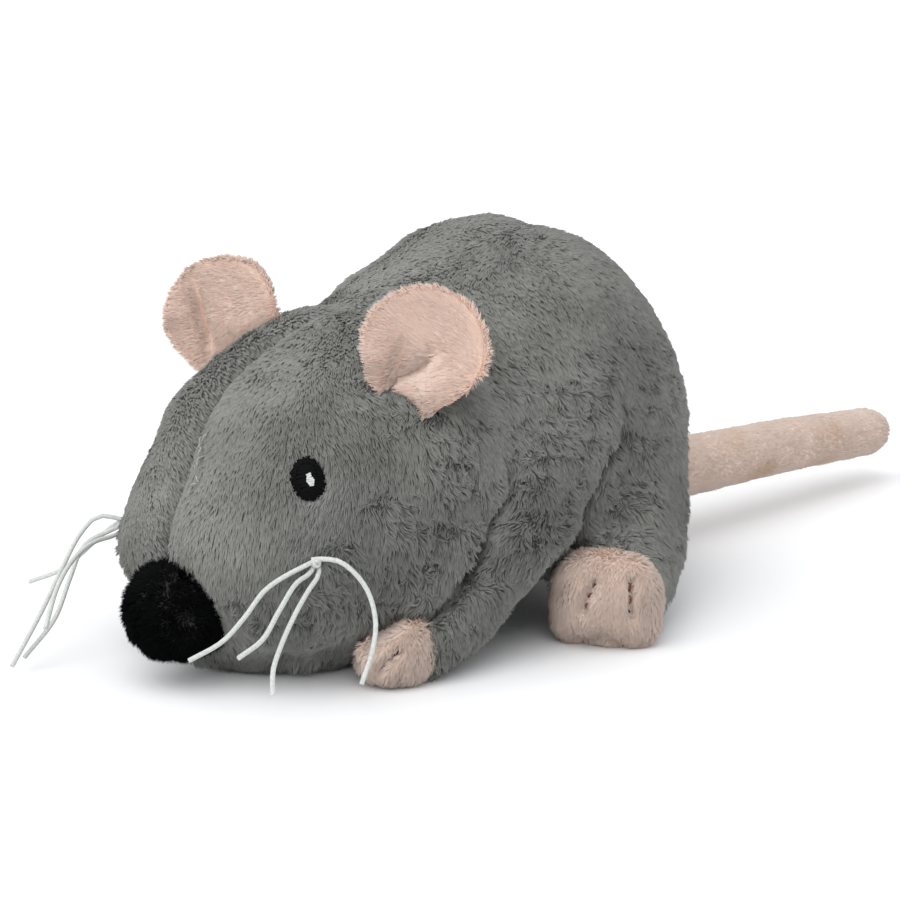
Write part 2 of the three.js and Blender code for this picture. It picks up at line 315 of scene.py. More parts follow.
def thread(name, colour, shade, gloss, twist):
    # twisted thread, with fine slanting plies across its length
    material, tree, shader = newMaterial(name)
    fibre = noiseValue(tree, 2600, 3, 0.4)
    coloured = blendColours(tree, "MIX", remap(tree, fibre, 0.3, 0.7, 0, 1), linear(*shade), linear(*colour))
    tree.links.new(coloured, shader.inputs["Base Color"])
    tree.links.new(remap(tree, fibre, 0.3, 0.7, gloss, gloss + 0.15), shader.inputs["Roughness"])
    place = tree.nodes.new("ShaderNodeTexCoord")
    plies = addNode(tree, "ShaderNodeTexWave", Scale=twist, Distortion=1.5, bands_direction="DIAGONAL")
    tree.links.new(place.outputs["Object"], plies.inputs["Vector"])
    bump = addNode(tree, "ShaderNodeBump", Strength=0.5, Distance=0.0001)
    tree.links.new(plies.outputs[0], bump.inputs["Height"])
    tree.links.new(bump.outputs["Normal"], shader.inputs["Normal"])
    shader.inputs["Specular IOR Level"].default_value = 0.12
    return material


def floorFinish():
    material, tree, shader = newMaterial("pale_floor")
    paper = remap(tree, noiseValue(tree, 3, 3), 0.3, 0.7, 0, 1)
    tint = blendColours(tree, "MIX", paper, (0.86, 0.86, 0.86, 1), (0.88, 0.88, 0.88, 1))
    tree.links.new(tint, shader.inputs["Base Color"])
    shader.inputs["Roughness"].default_value = 0.9
    shader.inputs["Specular IOR Level"].default_value = 0.1
    return material


floor.data.materials.append(floorFinish())
# the grey backing is coloured as dark as the pile's roots: painted shade in the gaps between the tufts
greyCloth = backing("grey_backing", (100, 101, 97), (84, 85, 81))
greyPile = plush("grey_pile", (88, 89, 85), (150, 150, 144), 0.6, 0.05, (0.72, 1.28))
pinkCloth = backing("pink_backing", (232, 203, 187), (222, 186, 167))
pinkPile = plush("pink_pile", (206, 169, 150), (234, 215, 203), 0.25, 0.05, (0.94, 1.04))
velourCloth = backing("velour_backing", (226, 204, 189), (216, 192, 176), 0.5)
velourPile = plush("velour_pile", (214, 189, 173), (228, 209, 197), 0.35, 0.05, (0.95, 1.04), stain=0.5)
blackCloth = backing("black_backing", (4, 4, 5), (2, 2, 3))
blackPile = plush("black_pile", (1, 1, 2), (7, 8, 9), 0.06, 0, (0.8, 1.15), rough=0.96, gloss=0)
whiteThread = thread("white_thread", (206, 208, 204), (180, 182, 178), 0.65, 900)
blackThread = thread("black_thread", (6, 6, 7), (2, 2, 3), 0.72, 900)
seamThread = thread("seam_thread", (168, 170, 165), (138, 140, 135), 0.7, 900)
brownThread = thread("brown_thread", (120, 66, 55), (86, 45, 39), 0.7, 900)


# Whiskers
whiskers = {
    "diameter": 0.92, "points": 20, "tieTurns": 2.4, "tieRadius": 0.42, "coilRadius": 0.5,
    "left": {"knot": [26.6, -3.5, 27.2], "strands": [
        [[26.9, -5.7, 27], [25.4, -8.7, 25.6], [22.7, -11.7, 22.8], [20, -14.4, 17.6],
         [17.6, -17.9, 13.1], [15.4, -24.1, 10.4]],
        [[27.4, -5, 25.5], [28.3, -9, 24.8], [31.8, -16.8, 21.7], [34.8, -23.6, 18.6], [35.6, -30, 16.9]],
        [[28, -3.2, 25.2], [29.6, -7.4, 23.2], [32.4, -13.5, 20.4], [34.4, -18.8, 16.2],
         [35.8, -22, 12.6], [37.2, -23.4, 8.8]],
        [[28.3, -2.6, 28], [31.3, -0.7, 27.6], [34.7, 2.2, 23], [37.2, 2.3, 17.2],
         [38.5, 0.2, 12], [38.8, -2.9, 6.4]],
    ]},
    "right": {"knot": [-26.6, -3.9, 24.4], "strands": [
        [[-27.4, -5.6, 25.7], [-30, -7.8, 25.8], [-32, -10.6, 22.4], [-31.5, -15, 17.6],
         [-28, -23.7, 10.4], [-23.6, -34.6, 2.8]],
        [[-28.6, -4.2, 23.9], [-32, -5, 21.2], [-40.4, -5.6, 14.4], [-45, -5.5, 11.3], [-54, -6.2, 7.2]],
        [[-27, -6, 23.6], [-29.4, -11.6, 21], [-28.8, -16, 15.1], [-26.8, -21.6, 8.6], [-26.6, -29.4, 2.6]],
        [[-25.6, -6.9, 22.8], [-25.6, -12.4, 22.4], [-24, -18.8, 20.6], [-21.4, -25, 16.8],
         [-18, -30.8, 10.6]],
    ]},
}


def threadCurve(name, points, radius, material, sides=3):
    line = bpy.data.curves.new(name, "CURVE")
    line.dimensions = "3D"
    spline = line.splines.new("POLY")
    spline.points.add(len(points) - 1)
    for point, place in zip(spline.points, points):
        point.co = (*place, 1)
    line.bevel_depth = radius
    line.bevel_resolution = sides
    line.use_fill_caps = True
    line.materials.append(material)
    piece = bpy.data.objects.new(name, line)
    bpy.context.scene.collection.objects.link(piece)
    return piece


def curveToMesh(piece):
    bpy.ops.object.select_all(action="DESELECT")
    piece.select_set(True)
    bpy.context.view_layer.objects.active = piece
    bpy.ops.object.convert(target="MESH")
    return bpy.context.object


def stitch(name, line, radius, material):
    # a short thread through places on the drawing
    return curveToMesh(threadCurve(name, spots(line), radius * mm, material, 1))


def joinAll(pieces, name):
    bpy.ops.object.select_all(action="DESELECT")
    for piece in pieces:
        piece.select_set(True)
    bpy.context.view_layer.objects.active = pieces[0]
    if len(pieces) > 1:
        bpy.ops.object.join()
    bpy.context.object.name = name
    return bpy.context.object


def finishPiece(piece):
    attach(piece, "root")
    return piece


def addWhiskers(side):
    knotPlace = whiskers[side]["knot"]
    outward = 1 if side == "left" else -1
    turn = np.linspace(0, 2 * math.pi * whiskers["tieTurns"], 40)[:, None]
    coil = np.hstack([outward * (0.3 + 0.16 * turn / 2), whiskers["coilRadius"] * np.cos(turn),
                      whiskers["coilRadius"] * np.sin(turn)])
    knot = curveToMesh(threadCurve(f"whisker_tie_{side}", spots(coil + knotPlace),
                                   whiskers["tieRadius"] * mm, whiteThread))
    finishPiece(knot)
    for i, strand in enumerate(whiskers[side]["strands"], 1):
        # each strand comes straight out of the knot
        start, after = np.array(strand[:2])
        behind = start - unit(after - start) * np.linalg.norm(start - knotPlace)
        points = spots(smoothRoute([(behind + knotPlace) / 2, *strand], whiskers["points"]))
        piece = threadCurve(f"whisker_{side}_thread_{i}", points, whiskers["diameter"] * mm / 2, whiteThread)
        finishPiece(piece)
        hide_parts(f"whisker_{side}_{i}")
        if i == 1:
            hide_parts(f"whisker_knot_{side}")
        print(f"whisker {side} {i}: {routeLength(points) / mm:.1f} mm")


addWhiskers("left")
addWhiskers("right")


# Skins
def activate(piece):
    bpy.ops.object.select_all(action="DESELECT")
    piece.select_set(True)
    bpy.context.view_layer.objects.active = piece


def applyModifier(piece, kind, **settings):
    activate(piece)
    modifier = piece.modifiers.new(kind.lower(), kind)
    for key, value in settings.items():
        setattr(modifier, key, value)
    bpy.ops.object.modifier_apply(modifier=modifier.name)


def skinFrom(nodes, name, voxel, smooth):
    # one closed skin round copies of the solids, which are swollen a little so that they merge
    copies = []
    for node in nodes:
        copy = bpy.data.objects.new(name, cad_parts[node].data.copy())
        bpy.context.scene.collection.objects.link(copy)
        copies.append(copy)
    bpy.ops.object.select_all(action="DESELECT")
    for copy in copies:
        copy.select_set(True)
    bpy.context.view_layer.objects.active = copies[0]
    if len(copies) > 1:
        bpy.ops.object.join()
    skin = bpy.context.object
    skin.name = name
    skin.data.materials.clear()
    bpy.ops.object.mode_set(mode="EDIT")
    bpy.ops.mesh.select_all(action="SELECT")
    bpy.ops.mesh.remove_doubles(threshold=1e-6)
    bpy.ops.transform.shrink_fatten(value=0.0002 if len(copies) > 1 else 0)
    bpy.ops.object.mode_set(mode="OBJECT")
    applyModifier(skin, "REMESH", mode="VOXEL", voxel_size=voxel * mm, use_smooth_shade=True)
    bpy.ops.object.mode_set(mode="EDIT")
    bpy.ops.mesh.select_all(action="SELECT")
    bpy.ops.mesh.vertices_smooth(factor=0.5, repeat=smooth)
    bpy.ops.object.mode_set(mode="OBJECT")
    return skin


def readPoints(skin):
    count = len(skin.data.vertices)
    points, normals = np.empty(count * 3), np.empty(count * 3)
    skin.data.vertices.foreach_get("co", points)
    skin.data.vertices.foreach_get("normal", normals)
    return drawn(points.reshape(-1, 3)), normals.reshape(-1, 3)


def movePoints(skin, points):
    skin.data.vertices.foreach_set("co", spots(points).ravel())
    skin.data.update()


def evenOut(skin, repeat):
    activate(skin)
    bpy.ops.object.mode_set(mode="EDIT")
    bpy.ops.mesh.select_all(action="SELECT")
    bpy.ops.mesh.vertices_smooth(factor=0.5, repeat=repeat)
    bpy.ops.object.mode_set(mode="OBJECT")


def unwrap(skin):
    activate(skin)
    bpy.ops.object.mode_set(mode="EDIT")
    bpy.ops.mesh.select_all(action="SELECT")
    bpy.ops.uv.smart_project(angle_limit=math.radians(66), island_margin=0.002)
    bpy.ops.object.mode_set(mode="OBJECT")
    skin.data.uv_layers.active.name = "OFBake"


# Pile
def readSurface(skin):
    mesh = skin.data
    mesh.calc_loop_triangles()
    count = len(mesh.loop_triangles)
    corners, loops = np.empty(count * 3, int), np.empty(count * 3, int)
    mesh.loop_triangles.foreach_get("vertices", corners)
    mesh.loop_triangles.foreach_get("loops", loops)
    flat = np.empty(len(mesh.loops) * 2)
    mesh.uv_layers["OFBake"].data.foreach_get("uv", flat)
    points, normals = readPoints(skin)
    return points, normals, corners.reshape(-1, 3), flat.reshape(-1, 2)[loops].reshape(-1, 3, 2)


def scatter(surface, perMm2, share, rng):
    # roots spread evenly over a skin; share says how much of them each triangle keeps
    points, normals, corners, flat = surface
    triangles = points[corners]
    cross = np.cross(triangles[:, 1] - triangles[:, 0], triangles[:, 2] - triangles[:, 0])
    weight = np.linalg.norm(cross, axis=1) / 2 * share(triangles.mean(axis=1), unit(cross))
    total = np.cumsum(weight)
    count = int(total[-1] * perMm2)
    face = np.searchsorted(total, (np.arange(count) + rng.random(count)) / count * total[-1])
    a, b = rng.random(count) ** 0.5, rng.random(count)
    parts = np.stack([1 - a, a * (1 - b), a * b], axis=1)[..., None]
    return ((triangles[face] * parts).sum(axis=1), unit((normals[corners[face]] * parts).sum(axis=1)),
            (flat[face] * parts).sum(axis=1))


def everywhere(points, normals):
    return np.ones(len(points))


def evenTone(points):
    return np.zeros(len(points))


tuftFaces = np.array([[0, 3, 1], [0, 1, 2], [0, 2, 3], [1, 3, 2]])
tuftPatch = np.array([[0, -0.0013], [0, 0.0013], [0.0005, 0], [0.0014, 0]])
mostTufts = 48500  # in one piece
tuft = {"crestAt": 0.45, "crestLean": 0.86, "tipLean": 1.12, "mostLean": 82, "leanJitter": 28, "sunk": 0.25,
        "lengths": (0.75, 1.2), "widths": (0.7, 1.25), "pulls": (0.6, 1.2), "crestPull": 0.4}


def tuftMesh(name, roots, crests, tips, sides, tones, flat, facing, material):
    # each tuft is a closed wedge of four triangles: two points at its root, its crest and its tip
    count = len(roots)
    points = np.stack([roots + sides, roots - sides, crests, tips], axis=1)
    corners = (tuftFaces.ravel()[None] + 4 * np.arange(count)[:, None]).ravel()
    shading = facing[:, tuftFaces]
    shading[:, 0] = unit(np.cross(tips - points[:, 0], points[:, 1] - points[:, 0]))[:, None]
    mesh = bpy.data.meshes.new(name)
    mesh.vertices.add(count * 4)
    mesh.vertices.foreach_set("co", spots(points.reshape(-1, 3)).ravel())
    mesh.loops.add(len(corners))
    mesh.loops.foreach_set("vertex_index", corners)
    mesh.polygons.add(len(corners) // 3)
    mesh.polygons.foreach_set("loop_start", np.arange(0, len(corners), 3))
    mesh.polygons.foreach_set("use_smooth", np.ones(len(corners) // 3, bool))
    mesh.update(calc_edges=True)
    mesh.normals_split_custom_set(shading.reshape(-1, 3))
    places = (flat[:, None] + tuftPatch[None]).reshape(-1, 2)[corners]
    mesh.uv_layers.new(name="OFBake").data.foreach_set("uv", places.ravel())
    # how far along its tuft each point is, which places the painted shade at the root
    share = np.tile([0, 0, 0.5, 1], count)
    mesh.attributes.new("tipShare", "FLOAT", "POINT").data.foreach_set("value", share)
    mesh.attributes.new("tone", "FLOAT", "POINT").data.foreach_set("value", np.repeat(tones, 4))
    mesh.materials.append(material)
    piece = bpy.data.objects.new(name, mesh)
    bpy.context.scene.collection.objects.link(piece)
    return piece


def growPile(skin, name, pile, flow, material, share=everywhere, paintedShading=evenTone):
    # tufts lie along the flow, and lean together in locks that leave dark gaps between them
    rng = np.random.default_rng(pile["seed"])
    surface = readSurface(skin)
    roots, normals, flat = scatter(surface, pile["perMm2"], share, rng)
    heads, headNormals, _ = scatter(surface, pile["locksPerMm2"], share, rng)

    def lay(points, normals, jitter):
        heading, lean, size = flow(points, normals)
        heading = heading + jitter * rng.normal(size=points.shape)
        along = unit(heading - (heading * normals).sum(axis=1, keepdims=True) * normals)
        lean = lean + tuft["leanJitter"] * jitter * rng.normal(size=len(points))
        lean = np.radians(np.clip(lean, 0, tuft["mostLean"]))[:, None]
        length = (pile["length"] * size * rng.uniform(*tuft["lengths"], len(points)))[:, None]
        low, high = lean * tuft["crestLean"], lean * tuft["tipLean"]
        crests = points + length * tuft["crestAt"] * (np.cos(low) * normals + np.sin(low) * along)
        rest = length * (1 - tuft["crestAt"])
        return crests, crests + rest * (np.cos(high) * normals + np.sin(high) * along)

    _, headTips = lay(heads, headNormals, pile["lockJitter"])
    crests, tips = lay(roots, normals, pile["jitter"])
    tree = kdtree.KDTree(len(heads))
    for i, head in enumerate(heads):
        tree.insert(head, i)
    tree.balance()
    nearest = np.array([tree.find(root)[1] for root in roots])
    pull = pile["pull"] * rng.uniform(*tuft["pulls"], len(roots))[:, None]
    pull = pull * (np.linalg.norm(heads[nearest] - roots, axis=1) < pile["lockReach"])[:, None]
    tips = tips + pull * (headTips[nearest] - tips)
    crests = crests + tuft["crestPull"] * pull * (headTips[nearest] - crests) * [1, 1, 0.4]
    roots = roots - tuft["sunk"] * normals
    for points in (roots, crests, tips):
        points[:, 2] = np.maximum(points[:, 2], 0.05)  # none goes through the floor
    lockTone = rng.random(len(heads))[nearest]
    # each tuft's tone: random, plus the painted light and shade given for its place
    tones = 0.5 + pile["spread"] * (0.5 * rng.random(len(roots)) + 0.5 * lockTone - 0.5) + paintedShading(roots)
    ahead = unit(tips - roots)
    aside = unit(np.cross(normals, ahead) + 0.01)
    sides = aside * (pile["width"] / 2 * rng.uniform(*tuft["widths"], len(roots)))[:, None]
    # tufts are shaded partly as the surface that they make up together
    own = np.stack([aside + normals / 2, normals / 2 - aside, normals, normals + ahead / 2], axis=1)
    facing = unit(pile["soft"] * normals[:, None] + (1 - pile["soft"]) * unit(own))
    order = np.argsort(roots[:, 1], kind="stable")
    parts = np.array_split(order, math.ceil(len(order) / mostTufts))
    for i, part in enumerate(parts, 1):
        pieceName = name if len(parts) == 1 else f"{name}_{i}"
        piece = tuftMesh(pieceName, roots[part], crests[part], tips[part], sides[part], tones[part],
                         flat[part], facing[part], material)
        finishPiece(piece)
    print(f"{name}: {len(roots)} tufts in {len(parts)} pieces")


# Body
body = {"voxel": 1.1, "smooth": 6, "depth": 1.15, "uneven": 0.3, "farFolds": 0.7, "lowest": 0.6}
bodySeam = {"depth": 2.4, "width": 1.6, "backDepth": 1.2}
bodyPile = {"seed": 3, "perMm2": 8.8, "locksPerMm2": 1.2, "length": 2.7, "width": 0.34, "soft": 0.56,
            "jitter": 0.12, "lockJitter": 0.2, "pull": 0.4, "lockReach": 1.2, "spread": 0.42}
bodyFolds = [
    # the cheek's lower edge, which hangs over the foreleg and the paw, and the puff above it
    {"route": [[34.2, 40, 43], [34.3, 38.6, 34.6], [34.2, 35, 30.2], [33.4, 31.2, 25], [31.9, 26.8, 19.2]],
     "depth": 3.2, "width": 3, "over": [0.7, 0.52, -0.49], "lap": 1.8},
    {"route": [[33.8, 33, 27.5], [32.7, 29, 22], [31.9, 26.8, 19.2], [31.2, 22.4, 15.4], [29.5, 18.5, 12.5],
               [28.6, 16.5, 11]],
     "depth": 5.4, "width": 3.8, "over": [0.7, 0.52, -0.49], "lap": 1.4},
    {"route": [[32.6, 28, 24], [30.2, 24.5, 17.5], [27.2, 21.2, 12.4], [25.6, 18.4, 9.6]],
     "depth": -4, "width": 5, "along": [0.75, -0.6, 0.1]},
    # the jaw: drawn in below the cheek, full under the nose
    {"route": [[11, -4.5, 1], [17.6, -0.5, 2], [21, 6, 2.6], [22.5, 12, 3]], "depth": 3.6, "width": 7},
    {"route": [[-6, -8.5, 4.5], [1, -9.5, 4], [7, -8, 3.5]],
     "depth": -3, "width": 5, "along": [0, -0.6, -0.8]},
    # two wrinkles below the ear
    {"route": [[32, 22.4, 50], [33.4, 24, 44], [34.9, 24.3, 38], [35, 26, 33]],
     "depth": 1.1, "width": 1.2, "pinch": 0.2},
    {"route": [[33, 28.6, 49], [34, 29.4, 44.6], [35, 30, 39], [35.2, 31.2, 34], [34.9, 32.6, 29.5]],
     "depth": 1.3, "width": 1.2, "pinch": 0.2},
    # the flank's rear edge, which hangs over the hollow in front of the haunch
    {"route": [[37.6, 71.5, 45], [38.1, 68.3, 40], [38, 65.3, 36.3], [37.5, 60.6, 29.6], [37.8, 57.4, 25.5],
               [36, 56.8, 21], [33.4, 57.4, 16.8], [30.5, 58, 13]],
     "depth": 6, "width": 4.4, "over": [0.1, 0.83, -0.55], "lap": 1.2},
    {"route": [[38.4, 72.3, 38.8], [37.6, 74, 30.3], [38, 71.9, 24.1], [40.1, 66.5, 19.6]],
     "depth": -0.7, "width": 1.0},
    # flatter at the haunch's back, fuller beside the seam on the forehead
    {"route": [[40, 86, 32], [41.4, 86.5, 22], [41, 86.5, 13]], "depth": 1.7, "width": 6},
    {"route": [[-12.5, -10, 34], [-13.2, -2, 45.8], [-13.8, 4.1, 51.5], [-13, 13.2, 58], [-11.8, 23.4, 62.7]],
     "depth": -0.9, "width": 6},
]
# patches of crushed, curly pile, the same on both sides: middle and reach
curls = [[[17, -12, 16], 9], [[24, -4, 13], 12], [[27, -1, 20], 11], [[31, 10, 19], 12], [[33, 21, 22], 11],
         [[35, 28, 31], 10], [[36.5, 71, 50], 9], [[40, 47, 24], 12], [[40, 52, 36], 10], [[38, 79, 40], 9],
         [[38, 72, 28], 8], [[41, 34, 14], 10], [[33, 14, 33], 11], [[31, 3, 28], 8]]
# painted light and shade on the pile, in patches made paler or darker as light and shade fall on them:
# middle, reach and change of tone; on both sides past 15 mm
paintedLightAndShade = [[[9, -3, 48], 13, -0.22], [[12, -12, 32], 11, 0.3], [[-9, -9, 40], 14, 0.42],
           [[-11, 6, 52], 10, 0.25], [[8, 65, 76], 18, -0.18], [[25, -6, 12], 13, -0.26],
           [[33, 23, 44], 13, 0.44], [[33, 13, 34], 10, 0.25], [[40, 50, 34], 13, -0.34],
           [[34, 76, 56], 16, -0.33], [[32, 54, 52], 13, 0.18], [[38, 80, 30], 12, -0.14]]
# brushed forward over the foreleg
crushed = {"middle": [40.5, 40, 25], "reach": 12, "heading": [0, -1.4, 0.35]}
bodyNap = {"lean": 71, "leanUneven": 3, "stripLean": 4, "topLean": 4, "farFaceLift": 8, "curlLift": 31,
           "curlUneven": 14, "curlTurn": 1.5, "curlShrink": 0.25, "seamShrink": 0.5, "sizeAtEye": 0.6,
           "curlBehindHead": 0.5}
eyes = {"at": {1: (21.8, 0, 41.6), -1: (22.5, 1.2, 41.4)}, "turn": 41, "lean": -27, "roll": -12,
        "halfWidth": 2.8, "halfHeight": 3.8}


def turned(place):
    # how a piece of the drawing is turned: rolled, then leant, then turned about the upright
    angles = [math.radians(place[key]) for key in ("turn", "lean", "roll")]
    return np.array(Matrix.Rotation(angles[0], 3, "Z") @ Matrix.Rotation(angles[1], 3, "X")
                    @ Matrix.Rotation(angles[2], 3, "Y"))


def seamX(y):
    # where the seam along the back and forehead runs across the body
    return np.interp(y, [-14, -2, 14, 24, 50, 62, 68, 78, 118],
                     [-3.2, -5.8, -6.6, -4.4, -3.6, -0.8, 2.6, 3.8, 0.5])


def seamGap(points, normals):
    # how far each point of the upper side is from the seam; the underside has none
    x, y, z = points.T
    return np.abs(x - seamX(y)) + 20 * fade(normals[:, 2] - 0.7 * normals[:, 1], 0, -0.3)


def eyeGap(points):
    # how far each point is outside the nearer eye's oval
    found = np.full(len(points), 9.0)
    for side in (1, -1):
        place = points * [side, 1, 1] - eyes["at"][side]
        across, _, up = turned(eyes).T @ place.T
        oval = ((across / eyes["halfWidth"]) ** 2 + (up / eyes["halfHeight"]) ** 2) ** 0.5
        gap = (oval - 1) * (eyes["halfWidth"] + eyes["halfHeight"]) / 2
        found = np.where(np.linalg.norm(place, axis=1) < 9, np.minimum(found, gap), found)
    return found


def curlShare(points):
    # how curly the pile is: in patches, and a little all over behind the head and below the back
    share = bodyNap["curlBehindHead"] * fade(points[:, 1], 8, 22) * fade(points[:, 2], 66, 52)
    for middle, reach in curls:
        away = np.linalg.norm(mirrored(points) - middle, axis=1)
        share = np.maximum(share, fade(away, reach, reach * 0.4))
    return share * fade(waves(points, 7, 15)[:, 0], -1.2, 0.3)


# painted light and shade: each patch makes the pile paler or darker near its middle
def paintedBodyShading(points):
    change = np.zeros(len(points))
    for middle, reach, step in paintedLightAndShade:
        away = np.linalg.norm((points if middle[0] < 15 else mirrored(points)) - middle, axis=1)
        change += step * fade(away, reach, reach * 0.2)
    return change


def bodyShare(points, normals):
    # no pile under the eyes' stitches, and a thinner one on the underside
    return np.where(eyeGap(points) < 0, 0, 1) * np.where(points[:, 2] < 4, 0.55, 1)


def bodyFlow(points, normals):
    # down the cheeks and flanks, forward over the head, and into the seam from its right side
    x, y, z = points.T
    seam = seamX(y)
    strip = fade(x, seam + 0.4, seam - 0.8) * fade(x, seam - 22, seam - 13)
    far = fade(x, seam - 13, seam - 22)
    head = fade(y, 44, 26)
    top = head * np.clip(normals[:, 2], 0, 1)
    aside = (0.15 + 0.3 * top) * (1 - 2 * far) + 1.4 * strip + 0.1 * fade(y, 0, -10)
    heading = np.stack([aside, 0.1 - 0.45 * head, np.full(len(x), -1.0)], axis=1)
    curl = curlShare(points)
    heading += 0.14 * waves(points, 30, 11) + 0.1 * waves(points, 9, 12)
    heading += bodyNap["curlTurn"] * curl[:, None] * waves(points, 3.2, 16)
    away = np.linalg.norm(mirrored(points) - crushed["middle"], axis=1)
    heading += fade(away, crushed["reach"], crushed["reach"] * 0.5)[:, None] * crushed["heading"]
    lean = bodyNap["lean"] + bodyNap["leanUneven"] * waves(points, 18, 13)[:, 0]
    lean += bodyNap["stripLean"] * strip
    lean -= bodyNap["farFaceLift"] * fade(x, -20, -28) * fade(z, 38, 48)
    lift = bodyNap["curlLift"] + bodyNap["curlUneven"] * waves(points, 2.4, 17)[:, 0]
    lean += bodyNap["topLean"] * np.clip(normals[:, 2], 0, 1) - curl * lift
    size = 1 + 0.1 * waves(points, 12, 14)[:, 0] - bodyNap["curlShrink"] * curl
    size -= bodyNap["seamShrink"] * fade(seamGap(points, normals), 2.2, 0.4)
    least = bodyNap["sizeAtEye"]
    return heading, lean, size * (least + (1 - least) * fade(eyeGap(points), 0, 2.5))


def makeBody():
    legs = [f"{leg}_{side}" for leg in ("foreleg", "hindleg") for side in ("left", "right")]
    skin = skinFrom(["head", "trunk", *legs], "body_skin", body["voxel"], body["smooth"])
    points, normals = readPoints(skin)
    print("body skin:", len(points), "points")
    deeper = (bodySeam["depth"] - bodySeam["backDepth"]) * fade(points[:, 1], 45, 30)
    seamDepth = bodySeam["backDepth"] + deeper
    depth = body["depth"] + seamDepth * np.exp(-(seamGap(points, normals) / bodySeam["width"]) ** 2)
    depth += body["uneven"] * waves(points, 22, 21)[:, 0]
    moved = points - depth[:, None] * normals
    moved += foldIn(points, normals, bodyFolds) - points
    moved += foldIn(points, normals, bodyFolds, (-1, 1, 1), body["farFolds"]) - points
    moved[:, 2] = np.maximum(moved[:, 2], body["lowest"])
    movePoints(skin, moved)
    evenOut(skin, 2)
    skin.data.materials.append(greyCloth)
    unwrap(skin)
    finishPiece(skin)
    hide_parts("head", "trunk", *legs)
    return skin


bodySkin = makeBody()
growPile(bodySkin, "body_pile", bodyPile, bodyFlow, greyPile, bodyShare, paintedBodyShading)
bodyTree = BVHTree.FromObject(bodySkin, bpy.context.evaluated_depsgraph_get())


def sinkIntoBody(points, normals, reach, deep):
    # draws the points that face the body's skin from near by into it, so that the piece is rooted there
    moved = points.copy()
    for i, place in enumerate(spots(points)):
        nearest, _, _, distance = bodyTree.find_nearest(Vector(place))
        gap = distance / mm
        if gap < reach:
            step = np.array(nearest - Vector(place)) / mm
            facing = step @ normals[i] / max(gap, 0.01)
            share = fade(facing, 0.2, 0.7) * fade(gap, reach, reach * 0.75)
            moved[i] += share * step * (1 + deep / max(gap, 0.5))
    return moved


# Paws
paws = {
    # the forepaw's upper side is pressed in where the cheek lies on it
    "fore": {"route": [[15, 70, 49], [24, 57, 38], [28.4, 42.6, 23.2], [29.2, 28.4, 9], [28.2, 6.8, 5.8]],
             "slits": [[[32.2, 8.7, 4.2], [33, 9, 5.6], [33.8, 9.8, 6.8], [34.5, 11.4, 8.4]],
                       [[24.9, 7.9, 5.6], [24.3, 9.2, 7.6], [23.7, 11.3, 9]]],
             "notches": [[[33.2, 12.2, 0.3], [33.5, 12.3, 2.2]]], "puff": 0, "corners": 0.07,
             "folds": [{"route": [[30, 20, 15], [31.4, 17, 13.6], [32.2, 12, 11.8], [30.8, 8.2, 9.4],
                                  [27.4, 6.6, 7]],
                        "depth": 5, "width": 7, "over": [-0.6, -0.3, 0.7], "lap": 0,
                        "along": [0.69, -0.69, 0.24]}]},
    "hind": {"route": [[16, 87, 36], [24, 83.5, 24], [33, 73.5, 12], [45, 56.4, 7.7]],
             "slits": [[[41.7, 54.5, 8.7], [42.3, 54.8, 11.3], [42.9, 55.3, 12.6], [43, 55.9, 14.7]],
                       [[49, 61, 7.8], [49.1, 60.6, 10.4], [48.8, 60.6, 12.5], [48.3, 60.9, 14.3]]],
             "notches": [[[39.8, 58.4, 0], [39.2, 56, 2]], [[45.4, 61.8, 0], [45.5, 60, 2]]],
             "puff": 0.8, "corners": 0.15, "folds": [
                 {"route": [[36, 60, 1], [41, 57, 1], [46, 58, 1], [49, 62, 1]], "depth": 2, "width": 3.2}]},
    "cuff": 0.85, "depth": 1.0, "crease": 2.2, "creaseWidth": 0.9, "rootIn": 4, "rootNarrow": 0.12,
}
toeStitch = {"radius": 0.27, "rise": 0.3, "wave": 0.3, "waves": 5}
pawPile = {"seed": 5, "perMm2": 13, "locksPerMm2": 1.6, "length": 1.9, "width": 0.27, "soft": 0.7,
           "jitter": 0.16, "lockJitter": 0.3, "pull": 0.35, "lockReach": 0.9, "spread": 1}


def addToeStitches(skin, slits, name):
    # running stitches of brown thread along the bottoms of the slits between the toes
    surface = BVHTree.FromObject(skin, bpy.context.evaluated_depsgraph_get())
    middle = readPoints(skin)[0].mean(axis=0)
    rows = []
    for slit in slits:
        line = smoothRoute(slit, 31)
        for i, place in enumerate(line):
            out = unit(place - middle)
            start, = spots([place + 5 * out])
            nearest = surface.ray_cast(Vector(start), Vector(-out))[0]
            turn = i / (len(line) - 1) * toeStitch["waves"] * math.pi
            rise = toeStitch["rise"] + toeStitch["wave"] * math.sin(turn)
            line[i] = drawn(np.array([nearest]))[0] + out * rise
        rows.append(stitch(f"{name}_row", line, toeStitch["radius"], brownThread))
    return finishPiece(joinAll(rows, name))


def lineGap(points, lines):
    # how far each point is from the nearest of the lines
    return np.min([nearestOn(points, line)[0] for line in lines], axis=0)


